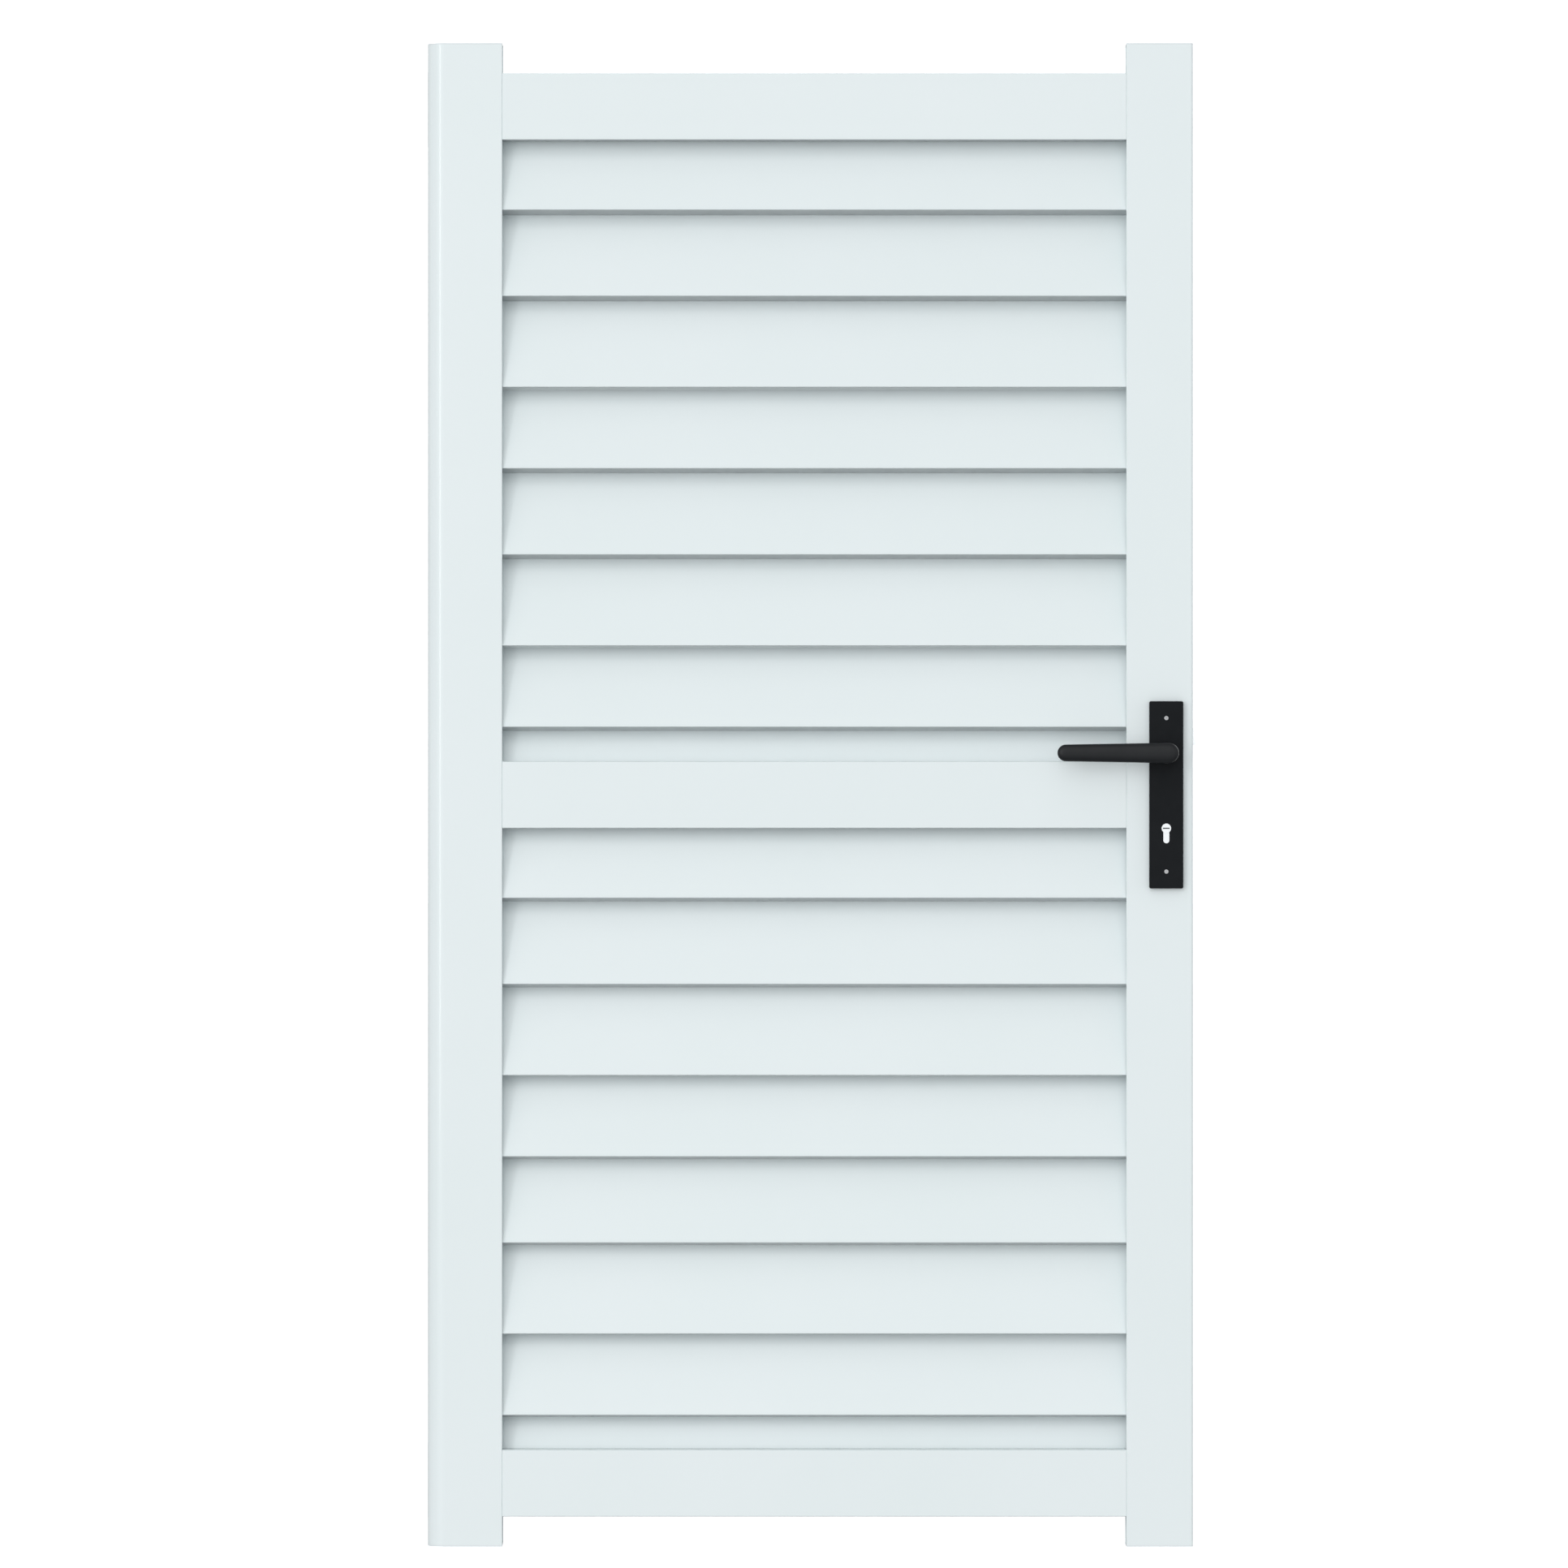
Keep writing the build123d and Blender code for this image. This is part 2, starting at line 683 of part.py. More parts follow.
def grub_screw(y):
    foot = spindle_height - lever_neck_radius + grub_sink
    head = spindle_height - spindle_size / 2 - running_clearance
    screw = rod_z(grub_radius, spindle_x, y, (foot, head))
    socket = Pos(spindle_x, y) * RegularPolygon(grub_socket_radius, 6)
    return screw - upright(socket, (foot - cut_over, foot + grub_socket_depth))


def lever_bush():
    flange_y = (-plate_face - bush_rim_thickness, -plate_face)
    bush_y = (-plate_face, -plate_face + lever_bush_depth)
    bush = rod_y(bush_bore + bush_rim, spindle_x, flange_y, spindle_height)
    bush += rod_y(bush_bore - bush_squeeze, spindle_x, bush_y, spindle_height)
    bore_y = (flange_y[0] - cut_over, bush_y[1] + cut_over)
    bore = lever_spigot_radius + running_clearance
    return bush - rod_y(bore, spindle_x, bore_y, spindle_height)


def return_spring():
    spring_start = -plate_face + lever_bush_depth + return_wire + spring_gap
    mean_radius = (lever_spigot_radius + spring_bore) / 2
    spring = coil(mean_radius, return_wire, return_turns, return_length)
    return place(spring, (spindle_x, spring_start, spindle_height), (0, 1, 0))


front_lever = lever()
back_lever = back_side(front_lever)
front_return_spring = return_spring()
back_return_spring = back_side(front_return_spring)
lever_bushes = together([lever_bush(), back_side(lever_bush())])
lever_grub_screws = together([grub_screw(grub_y), grub_screw(-grub_y)])
spindle_half = spindle_size / 2
spindle_reach = -socket_end - spindle_end_play
lever_spindle = block(
    (spindle_x - spindle_half, spindle_x + spindle_half),
    (-spindle_reach, spindle_reach),
    (spindle_height - spindle_half, spindle_height + spindle_half),
)

# ---- lock case ----
faceplate_thickness = 3.0
faceplate_width = 22.0
faceplate_margin = 42.0
faceplate_play = 0.2
faceplate_corner = 3.0
case_half = 8.0
case_wall = 1.5
case_behind_spindle = 20.5
case_depth = backset - faceplate_thickness + case_behind_spindle
case_margin = 35.0
case_front = leaf_right - faceplate_thickness
case_x = (case_front - case_depth, case_front)
case_y = (-case_half, case_half - case_wall)
case_z = (cylinder_z - case_margin, spindle_height + case_margin)
faceplate_z = (case_z[0] - faceplate_margin / 2, case_z[1] + faceplate_margin / 2)
hub_radius = 8.6
collar_radius = 7.5
latch_bar_rise = 10.5
latch_bar_height = 9.5
latch_bar_z = (spindle_height + latch_bar_rise, spindle_height + latch_bar_rise + latch_bar_height)
latch_head_rise = 9.5
latch_head_height = 21.0
latch_head_z = (spindle_height + latch_head_rise, spindle_height + latch_head_rise + latch_head_height)
latch_bar_half = 3.0
latch_head_half = 5.5
latch_head_length = 12.5
latch_head_x = leaf_right - latch_head_length
latch_nose = 2.5
latch_land = 0.5
latch_tail_x = case_x[0] + case_wall + latch_travel + loose_clearance
latch_spring_rise = 25.6
latch_spring_z = spindle_height + latch_spring_rise
latch_peg_radius = 1.5
latch_peg_length = 6.0
latch_wire = 0.4
latch_coil_radius = 2.6
latch_coils = 9
coil_gap = 0.1
spring_stop_reach = (-8.0, -5.0)
spring_stop_x = (spindle_x + spring_stop_reach[0], spindle_x + spring_stop_reach[1])
spring_stop_front = 4.5
spring_stop_gap = 1.2
weld_depth = 0.2
finger_tip = 17.0
finger_half = 2.0
finger_round = 1.2
finger_room = 1.0
notch_half = 3.9
notch_top = spindle_height + finger_tip + finger_room
deadbolt_half = 5.0
deadbolt_rise = 16.0
deadbolt_height = 28.0
deadbolt_z = (cylinder_z + deadbolt_rise, cylinder_z + deadbolt_rise + deadbolt_height)
deadbolt_tail_room = 5.0
flush_depth = 0.3
deadbolt_x = (case_x[0] + case_wall + deadbolt_tail_room, leaf_right - flush_depth)
deadbolt_chamfer = 0.8


def bolt_window(half_y, z_range, x_range):
    room_z = (z_range[0] - loose_clearance, z_range[1] + loose_clearance)
    reach = half_y + loose_clearance
    return block(x_range, (-reach, reach), room_z)


front_cut = (case_front - case_wall - cut_over, leaf_right + cut_over)
latch_window = bolt_window(latch_head_half, latch_head_z, front_cut)
deadbolt_window = bolt_window(deadbolt_half, deadbolt_z, front_cut)
whole_leaf = (-half_depth - cut_over, half_depth + cut_over)
cylinder_screw_drop = 20.5
cylinder_screw_z = cylinder_z - cylinder_screw_drop
cylinder_screw_radius = 2.5
cylinder_screw_past = 2.0
cylinder_screw_x = (spindle_x - cylinder_screw_past, leaf_right - flush_depth)
screw_room_x = (cylinder_screw_x[0], leaf_right + cut_over)
screw_room_radius = cylinder_screw_radius + seat_clearance
cylinder_screw_room = rod_x(screw_room_radius, screw_room_x, 0, cylinder_screw_z)
profile_ring_radius = 8.5
profile_foot_radius = 5.0
profile_foot_drop = 19.5


def follower_hole(radius, y_range):
    return rod_y(radius, spindle_x, y_range, spindle_height)


def cylinder_hole(clearance, y_range):
    ring_radius = profile_ring_radius + clearance
    foot_radius = profile_foot_radius + clearance
    outline = keyhole_shape(ring_radius, foot_radius, profile_foot_drop)
    return through(Pos(spindle_x, cylinder_z) * outline, y_range)


case_inner_x = (case_x[0] + case_wall, case_x[1] - case_wall)
case_inner_z = (case_z[0] + case_wall, case_z[1] - case_wall)
lock_case = block(case_x, case_y, case_z)
lock_case -= block(case_inner_x, (case_y[0] + case_wall, case_half), case_inner_z)
stop_y = (case_y[0] + case_wall - weld_depth, spring_stop_front)
stop_z = (latch_bar_z[1] + spring_stop_gap, case_z[1] - case_wall + weld_depth)
lock_case += block(spring_stop_x, stop_y, stop_z)
front_wall_cut = (-case_half - cut_over, 0)
lock_case -= follower_hole(collar_radius + running_clearance, front_wall_cut)
lock_case -= cylinder_hole(loose_clearance, front_wall_cut)
lock_case -= [latch_window, deadbolt_window, cylinder_screw_room]

lock_case_cover = block(case_x, (case_y[1], case_half), case_z)
back_wall_cut = (0, case_half + cut_over)
lock_case_cover -= follower_hole(collar_radius + running_clearance, back_wall_cut)
lock_case_cover -= cylinder_hole(loose_clearance, back_wall_cut)


# ---- faceplate, its clips and screws ----
def faceplate_outline(play):
    width = faceplate_width + 2 * play
    height = faceplate_z[1] - faceplate_z[0] + 2 * play
    middle = sum(faceplate_z) / 2
    return Pos(0, middle) * RectangleRounded(width, height, faceplate_corner + play)


face_screw_inset = 9.0
face_screw_radius = 1.9
face_screw_head = 3.8
face_screw_length = 9.0
clip_half = 9.0
clip_thickness = 6.0
clip_under = 16.0
clip_beyond = 12.0
face_screw_heights = [faceplate_z[0] + face_screw_inset, faceplate_z[1] - face_screw_inset]
face_screw = countersunk(face_screw_head, face_screw_radius, face_screw_length, True)
face_hole = screw_hole(face_screw_head, face_screw_radius, face_screw_length)
to_edge = (1, 0, 0)
face_points = [(leaf_right, 0, z) for z in face_screw_heights]
face_holes = [place(face_hole, p, to_edge) for p in face_points]
faceplate_screws = together([place(face_screw, p, to_edge) for p in face_points])

lock_faceplate = across(faceplate_outline(0), (case_front, leaf_right))
lock_faceplate -= face_holes
lock_faceplate -= [latch_window, deadbolt_window, cylinder_screw_room]


def faceplate_clip(end_z, outward):
    wall_face = leaf_right - profile_wall
    clip_back = case_front - clip_thickness
    clip_y = (-clip_half, clip_half)
    step = end_z + outward * faceplate_play
    under = sorted((end_z - outward * clip_under, step))
    beyond = sorted((step, end_z + outward * clip_beyond))
    return block((clip_back, case_front), clip_y, under) + block((clip_back, wall_face), clip_y, beyond)


faceplate_clips = together([
    faceplate_clip(faceplate_z[0], -1) - face_holes,
    faceplate_clip(faceplate_z[1], 1) - face_holes,
])

# ---- openings in the lock stile ----
spigot_room = 1.5
cylinder_room = 1.0
edge_cut = (leaf_right - profile_wall - cut_over, leaf_right + cut_over)
lock_stile -= across(faceplate_outline(faceplate_play), edge_cut)
lock_stile -= follower_hole(lever_spigot_radius + spigot_room, whole_leaf)
lock_stile -= cylinder_hole(cylinder_room, whole_leaf)
for bolt_z in plate_bolt_heights:
    lock_stile -= rod_y(sleeve_radius + loose_clearance, spindle_x, whole_leaf, bolt_z)


# ---- follower, latch and deadbolt ----
def follower():
    inner = case_half - case_wall - loose_clearance
    hub = follower_hole(hub_radius, (-inner, inner))
    hub += follower_hole(collar_radius, (-case_half, case_half))
    finger_x = (spindle_x - finger_half, spindle_x + finger_half)
    finger_z = (spindle_height, spindle_height + finger_tip)
    finger = block(finger_x, (-latch_bar_half, latch_bar_half), finger_z)
    finger = fillet(finger.edges().filter_by(Axis.Y).sort_by(Axis.Z)[-2:], finger_round)
    half = spindle_half + running_clearance
    hole_x = (spindle_x - half, spindle_x + half)
    hole_z = (spindle_height - half, spindle_height + half)
    hole_y = (-case_half - cut_over, case_half + cut_over)
    return hub + finger - block(hole_x, hole_y, hole_z)


def latch():
    tip_x = leaf_right + latch_projection
    head_plan = make_face(
        Polyline(
            (latch_head_x, -latch_head_half),
            (leaf_right + latch_land, -latch_head_half),
            (tip_x, latch_head_half - latch_nose),
            (tip_x, latch_head_half),
            (latch_head_x, latch_head_half),
            close=True,
        )
    )
    head = upright(head_plan, latch_head_z)
    bar_x = (latch_tail_x, latch_head_x + cut_over)
    bar = block(bar_x, (-latch_bar_half, latch_bar_half), latch_bar_z)
    notch_x = (spindle_x - notch_half, spindle_x + notch_half)
    notch_z = (latch_bar_z[0] - cut_over, notch_top)
    bar -= block(notch_x, (-latch_head_half, latch_head_half), notch_z)
    peg_x = (latch_head_x - latch_peg_length, latch_head_x + cut_over)
    peg = rod_x(latch_peg_radius, peg_x, 0, latch_spring_z)
    return head + bar + peg


def latch_spring_shape():
    end_room = latch_wire + coil_gap
    length = latch_head_x - spring_stop_x[1] - 2 * end_room
    spring = coil(latch_coil_radius, latch_wire, latch_coils, length)
    start = (spring_stop_x[1] + end_room, 0, latch_spring_z)
    return place(spring, start, (1, 0, 0))


lock_follower = follower()
latch_bolt = latch()
latch_spring = latch_spring_shape()
deadbolt = block(deadbolt_x, (-deadbolt_half, deadbolt_half), deadbolt_z)
deadbolt = chamfer(deadbolt.faces().sort_by(Axis.X)[-1].edges(), deadbolt_chamfer)

# ---- cylinder ----
cylinder_reach = plate_face - plate_front_wall - loose_clearance
plug_radius = 6.4
plug_bore = plug_radius + running_clearance
cam_half = 4.8
cam_gap = cam_half + loose_clearance
cam_ring_radius = 7.9
cam_reach = 13.5
cam_half_width = 3.5
cam_round = 2.0
cam_room = 1.0
cam_room_half = 9.5
plug_gap = 0.2
driver_slot_depth = 1.5
driver_slot_half = 0.4
key_slot_half = 4.05
key_slot_depth = 22.0
key_slot_height = 1.3

cylinder_body = cylinder_hole(0, (-cylinder_reach, cylinder_reach))
cylinder_body -= rod_y(plug_bore, spindle_x, (-cut_far, cut_far), cylinder_z)
cam_room_x = (spindle_x - cam_room_half, spindle_x + cam_room_half)
cam_room_z = (cylinder_z - cam_reach - cam_room, cylinder_z + cam_room_half)
cylinder_body -= block(cam_room_x, (-cam_gap, cam_gap), cam_room_z)
cylinder_body -= cylinder_screw_room


def plug():
    body = rod_y(plug_radius, spindle_x, (-cylinder_reach, -plug_gap), cylinder_z)
    slot_x = (spindle_x - key_slot_half, spindle_x + key_slot_half)
    slot_z = (cylinder_z - key_slot_height / 2, cylinder_z + key_slot_height / 2)
    slot_y = (-cylinder_reach - cut_over, -cylinder_reach + key_slot_depth)
    return body - block(slot_x, slot_y, slot_z)


def cam():
    ring = rod_y(cam_ring_radius, spindle_x, (-cam_half, cam_half), cylinder_z)
    lug_x = (spindle_x - cam_half_width, spindle_x + cam_half_width)
    lug = block(lug_x, (-cam_half, cam_half), (cylinder_z - cam_reach, cylinder_z))
    lug = fillet(lug.edges().filter_by(Axis.Y).sort_by(Axis.Z)[:2], cam_round)
    bore_y = (-cam_half - cut_over, cam_half + cut_over)
    return ring + lug - rod_y(plug_radius + drive_fit, spindle_x, bore_y, cylinder_z)


front_plug = plug()
back_plug = back_side(front_plug)
cylinder_cam = cam()
cylinder_screw = rod_x(cylinder_screw_radius, cylinder_screw_x, 0, cylinder_screw_z)
driver_slot_x = (leaf_right - driver_slot_depth, leaf_right + cut_over)
driver_slot_y = (-2 * cylinder_screw_radius, 2 * cylinder_screw_radius)
driver_slot_z = (cylinder_screw_z - driver_slot_half, cylinder_screw_z + driver_slot_half)
cylinder_screw -= block(driver_slot_x, driver_slot_y, driver_slot_z)

# ---- write one file per node ----
nodes = {
    "hinge_stile": hinge_stile,
    "lock_stile": lock_stile,
    "hinge_stile_caps": hinge_stile_caps,
    "lock_stile_caps": lock_stile_caps,
    "top_rail": top_rail,
    "middle_rail": middle_rail,
    "bottom_rail": bottom_rail,
    "rail_connectors": rail_connectors,
    "rail_screws": rail_screws,
    "stile_screws": stile_screws,
    "top_pillar_hinge": top_pillar_hinge,
    "bottom_pillar_hinge": bottom_pillar_hinge,
    "hinge_pins": hinge_pins,
    "top_leaf_hinge": top_leaf_hinge,
    "bottom_leaf_hinge": bottom_leaf_hinge,
    "hinge_bushes": hinge_bushes,
    "hinge_screws": hinge_screws,
    "front_handle_plate": front_handle_plate,
    "back_handle_plate": back_handle_plate,
    "plate_bolts": plate_bolts,
    "sleeve_nuts": sleeve_nuts,
    "front_lever": front_lever,
    "back_lever": back_lever,
    "front_return_spring": front_return_spring,
    "back_return_spring": back_return_spring,
    "lever_bushes": lever_bushes,
    "lever_grub_screws": lever_grub_screws,
    "lever_spindle": lever_spindle,
    "lock_case": lock_case,
    "lock_case_cover": lock_case_cover,
    "lock_faceplate": lock_faceplate,
    "faceplate_screws": faceplate_screws,
    "faceplate_clips": faceplate_clips,
    "lock_follower": lock_follower,
    "latch_bolt": latch_bolt,
    "latch_spring": latch_spring,
    "deadbolt": deadbolt,
    "cylinder_body": cylinder_body,
    "front_plug": front_plug,
    "back_plug": back_plug,
    "cylinder_cam": cylinder_cam,
    "cylinder_screw": cylinder_screw,
}
for number in range(3):
    nodes[f"upper_plank_{number + 1}"] = upper_planks[number]
    nodes[f"lower_plank_{number + 1}"] = lower_planks[number]

to_origin = Pos(*[-value for value in origin])
for name, shape in nodes.items():
    export_step(to_origin * together([shape]), f"parts/{name}.step")
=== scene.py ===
import json
import math

import bmesh
import bpy
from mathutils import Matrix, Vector


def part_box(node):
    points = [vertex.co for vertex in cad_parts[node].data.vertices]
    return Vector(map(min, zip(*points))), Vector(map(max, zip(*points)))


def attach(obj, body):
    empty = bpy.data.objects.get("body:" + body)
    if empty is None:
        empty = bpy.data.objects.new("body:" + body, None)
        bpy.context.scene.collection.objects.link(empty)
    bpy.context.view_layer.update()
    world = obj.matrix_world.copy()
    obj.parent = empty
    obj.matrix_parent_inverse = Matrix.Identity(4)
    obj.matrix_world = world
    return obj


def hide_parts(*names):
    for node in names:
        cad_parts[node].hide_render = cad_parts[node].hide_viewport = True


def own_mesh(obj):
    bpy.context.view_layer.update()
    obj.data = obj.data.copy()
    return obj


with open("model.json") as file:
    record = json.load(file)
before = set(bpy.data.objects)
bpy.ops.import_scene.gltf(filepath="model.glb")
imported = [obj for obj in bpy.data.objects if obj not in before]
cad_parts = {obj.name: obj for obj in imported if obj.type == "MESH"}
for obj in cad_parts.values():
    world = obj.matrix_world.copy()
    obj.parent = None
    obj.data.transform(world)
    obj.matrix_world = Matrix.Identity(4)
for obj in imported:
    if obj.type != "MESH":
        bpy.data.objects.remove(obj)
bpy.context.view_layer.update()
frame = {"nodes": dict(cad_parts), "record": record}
nodes = frame["nodes"]
record = frame["record"]

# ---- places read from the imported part, in metres ----
hinge_side_low, hinge_side_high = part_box("hinge_stile_caps")
lock_side_low, lock_side_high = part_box("lock_stile_caps")
leaf_front = hinge_side_low.y
leaf_foot = hinge_side_low.z
leaf_head = hinge_side_high.z
leaf_middle_x = (hinge_side_low.x + lock_side_high.x) / 2
leaf_middle_y = (hinge_side_low.y + hinge_side_high.y) / 2
leaf_centre = Vector((leaf_middle_x, leaf_middle_y, (leaf_foot + leaf_head) / 2))
joints = {joint["name"]: joint for joint in record["behaviour"]["joints"]}
spindle = Vector(joints["handle_turn"]["pos_m"])
key_axis = Vector(joints["key_turn"]["pos_m"])

# ---- camera: level, far back, a little left of the leaf's middle ----
CAMERA_DISTANCE = 10.3
CAMERA_LEFT = 0.0313
CAMERA_HEIGHT = 0.913
VIEW_WIDTH = 1.8767
SENSOR = 36.0
CLIP_NEAR = 0.1
CLIP_FAR = 200.0

camera_data = bpy.data.cameras.new("camera")
camera_data.sensor_width = SENSOR
camera_data.lens = SENSOR * CAMERA_DISTANCE / VIEW_WIDTH
camera_data.clip_start = CLIP_NEAR
camera_data.clip_end = CLIP_FAR
camera = bpy.data.objects.new("camera", camera_data)
camera.location = (
    leaf_middle_x - CAMERA_LEFT,
    leaf_front - CAMERA_DISTANCE,
    leaf_foot + CAMERA_HEIGHT,
)
camera.rotation_euler = (math.pi / 2, 0, 0)
bpy.context.scene.collection.objects.link(camera)
bpy.context.scene.camera = camera


# ---- node helpers ----
class Graph:
    """A node tree with short calls for the nodes used here."""

    def __init__(self, tree):
        self.tree = tree
        self.tree.nodes.clear()
        self.place = self.node("ShaderNodeTexCoord")

    def node(self, kind, **settings):
        made = self.tree.nodes.new(kind)
        for name, value in settings.items():
            setattr(made, name, value)
        return made

    def link(self, source, out, target, into):
        self.tree.links.new(source.outputs[out], target.inputs[into])

    def calculate(self, operation, first, second=0.0):
        made = self.node("ShaderNodeMath", operation=operation)
        for socket, value in zip(made.inputs, (first, second)):
            if isinstance(value, float):
                socket.default_value = value
            else:
                self.tree.links.new(value, socket)
        return made.outputs["Value"]

    def stretched(self, scale):
        node = self.node("ShaderNodeMapping")
        node.inputs["Scale"].default_value = scale
        self.link(self.place, "Object", node, "Vector")
        return node

    def noise(self, scale, detail=3.0, rough=0.5, source=None):
        node = self.node("ShaderNodeTexNoise")
        node.inputs["Scale"].default_value = scale
        node.inputs["Detail"].default_value = detail
        node.inputs["Roughness"].default_value = rough
        if source is None:
            self.link(self.place, "Object", node, "Vector")
        else:
            self.link(source, "Vector", node, "Vector")
        return node

    def cells(self, scale):
        node = self.node("ShaderNodeTexVoronoi", feature="SMOOTH_F1")
        node.inputs["Scale"].default_value = scale
        self.link(self.place, "Object", node, "Vector")
        return node

    def spread(self, source, low, high, start=0.3, stop=0.7):
        node = self.node("ShaderNodeMapRange")
        node.inputs["From Min"].default_value = start
        node.inputs["From Max"].default_value = stop
        node.inputs["To Min"].default_value = low
        node.inputs["To Max"].default_value = high
        self.tree.links.new(source, node.inputs["Value"])
        return node

    def shade(self, source, dark, light, start=0.3, stop=0.7):
        node = self.node("ShaderNodeValToRGB")
        node.color_ramp.elements[0].position = start
        node.color_ramp.elements[1].position = stop
        node.color_ramp.elements[0].color = (*dark, 1)
        node.color_ramp.elements[1].color = (*light, 1)
        self.tree.links.new(source, node.inputs["Fac"])
        return node

    def bump(self, source, distance, below=None):
        node = self.node("ShaderNodeBump")
        node.inputs["Distance"].default_value = distance
        self.tree.links.new(source, node.inputs["Height"])
        if below is not None:
            self.link(below, "Normal", node, "Normal")
        return node

    def panels(self, direction, lights, tightness):
        """Soft round patches of light around a direction: {(azimuth, height): strength}."""
        total = 0.0
        for (azimuth, height), strength in lights.items():
            facing = self.node("ShaderNodeVectorMath", operation="DOT_PRODUCT")
            self.tree.links.new(direction, facing.inputs[0])
            facing.inputs[1].default_value = outward(azimuth, height)
            fall = self.calculate("SUBTRACT", facing.outputs["Value"], 1.0)
            patch = self.calculate("EXPONENT", self.calculate("MULTIPLY", fall, tightness))
            total = self.calculate("ADD", self.calculate("MULTIPLY", patch, strength), total)
        return total


class Surface(Graph):
    """A material built on one principled shader."""

    def __init__(self, name):
        self.material = bpy.data.materials.new(name)
        self.material.use_nodes = True
        super().__init__(self.material.node_tree)
        output = self.node("ShaderNodeOutputMaterial")
        self.shader = self.node("ShaderNodeBsdfPrincipled")
        self.link(self.shader, "BSDF", output, "Surface")

    def put(self, **values):
        for name, value in values.items():
            self.shader.inputs[name.replace("_", " ")].default_value = value

    def colour(self, node):
        self.link(node, "Color", self.shader, "Base Color")

    def roughness(self, node):
        self.link(node, "Result", self.shader, "Roughness")

    def relief(self, node):
        self.link(node, "Normal", self.shader, "Normal")


def outward(azimuth, height):
    """The direction of a light: azimuth from the leaf's front, positive to its right."""
    turn, lift = math.radians(azimuth), math.radians(height)
    flat = math.cos(lift)
    return Vector((math.sin(turn) * flat, -math.cos(turn) * flat, math.sin(lift)))


# ---- finishes: noise scales are in waves per metre, bump distances in metres ----
# normal heights over which faces pointing down turn to the painted underside shade
UNDERSIDE_SHADE_RANGE = (-0.9, -0.45)


def white_powder_coat():
    """Satin powder coat with a fine orange peel, and painted shade: dark grey on faces that point
    down.
    """
    s = Surface("white_powder_coat")
    clean = s.shade(s.noise(4.0, 4.0).outputs[0], (0.785, 0.868, 0.882), (0.802, 0.878, 0.896))
    # painted shade: faces that point down get a dark grey in place of the shade under the louvre lips
    painted_underside_shade = s.shade(s.noise(55.0, 5.0, 0.6).outputs[0], (0.27, 0.3, 0.312), (0.325, 0.357, 0.37))
    facing = s.node("ShaderNodeSeparateXYZ")
    s.link(s.place, "Normal", facing, "Vector")
    underside_shade_mask = s.spread(facing.outputs["Z"], 1.0, 0.0, *UNDERSIDE_SHADE_RANGE)
    coat_and_painted_shade = s.node("ShaderNodeMix", data_type="RGBA")
    s.link(underside_shade_mask, "Result", coat_and_painted_shade, "Factor")
    s.tree.links.new(clean.outputs["Color"], coat_and_painted_shade.inputs["A"])
    s.tree.links.new(painted_underside_shade.outputs["Color"], coat_and_painted_shade.inputs["B"])
    s.tree.links.new(coat_and_painted_shade.outputs["Result"], s.shader.inputs["Base Color"])
    s.roughness(s.spread(s.noise(24.0, 3.0).outputs[0], 0.36, 0.44))
    peel = s.bump(s.noise(420.0, 2.0, 0.45).outputs[0], 0.00004)
    s.relief(s.bump(s.noise(1900.0, 1.0).outputs[0], 0.000007, below=peel))
    s.put(Coat_Weight=0.6, Coat_Roughness=0.12, IOR=1.5)
    return s.material


def black_powder_coat(name, roughness, specular):
    """Matt black coat with the fine grain of a structured powder."""
    s = Surface(name)
    s.colour(s.shade(s.noise(40.0, 4.0).outputs[0], (0.0072, 0.0087, 0.0104), (0.0094, 0.011, 0.013)))
    s.roughness(s.spread(s.noise(150.0, 4.0).outputs[0], roughness - 0.06, roughness + 0.06))
    grain = s.bump(s.cells(1500.0).outputs["Distance"], 0.00003)
    s.relief(s.bump(s.noise(3800.0, 2.0).outputs[0], 0.000012, below=grain))
    s.put(Specular_IOR_Level=specular, IOR=1.5)
    return s.material


def metal(name, dark, light, roughness, grain, depth):
    """Metal with fine lines: grain is how many cross a metre along X, Y and Z."""
    s = Surface(name)
    lines = s.noise(1.0, 4.0, 0.6, s.stretched(grain))
    s.colour(s.shade(s.noise(60.0, 4.0).outputs[0], dark, light))
    s.roughness(s.spread(lines.outputs[0], roughness - 0.07, roughness + 0.09))
    s.relief(s.bump(lines.outputs[0], depth))
    s.put(Metallic=1.0)
    return s.material


def nylon(name, dark, light):
    s = Surface(name)
    s.colour(s.shade(s.noise(18.0).outputs[0], dark, light))
    s.roughness(s.spread(s.noise(90.0).outputs[0], 0.42, 0.52))
    s.relief(s.bump(s.noise(1800.0, 2.0).outputs[0], 0.00002))
    s.put(IOR=1.5)
    return s.material


# painted shade: near-black colour standing in for the shade deep inside the narrow key slot
def keyway_painted_shade():
    s = Surface("keyway_painted_shade")
    s.colour(s.shade(s.noise(900.0, 4.0).outputs[0], (0.012, 0.011, 0.01), (0.03, 0.027, 0.022)))
    s.roughness(s.spread(s.noise(1400.0).outputs[0], 0.5, 0.65))
    s.relief(s.bump(s.noise(2600.0, 2.0).outputs[0], 0.00001))
    return s.material


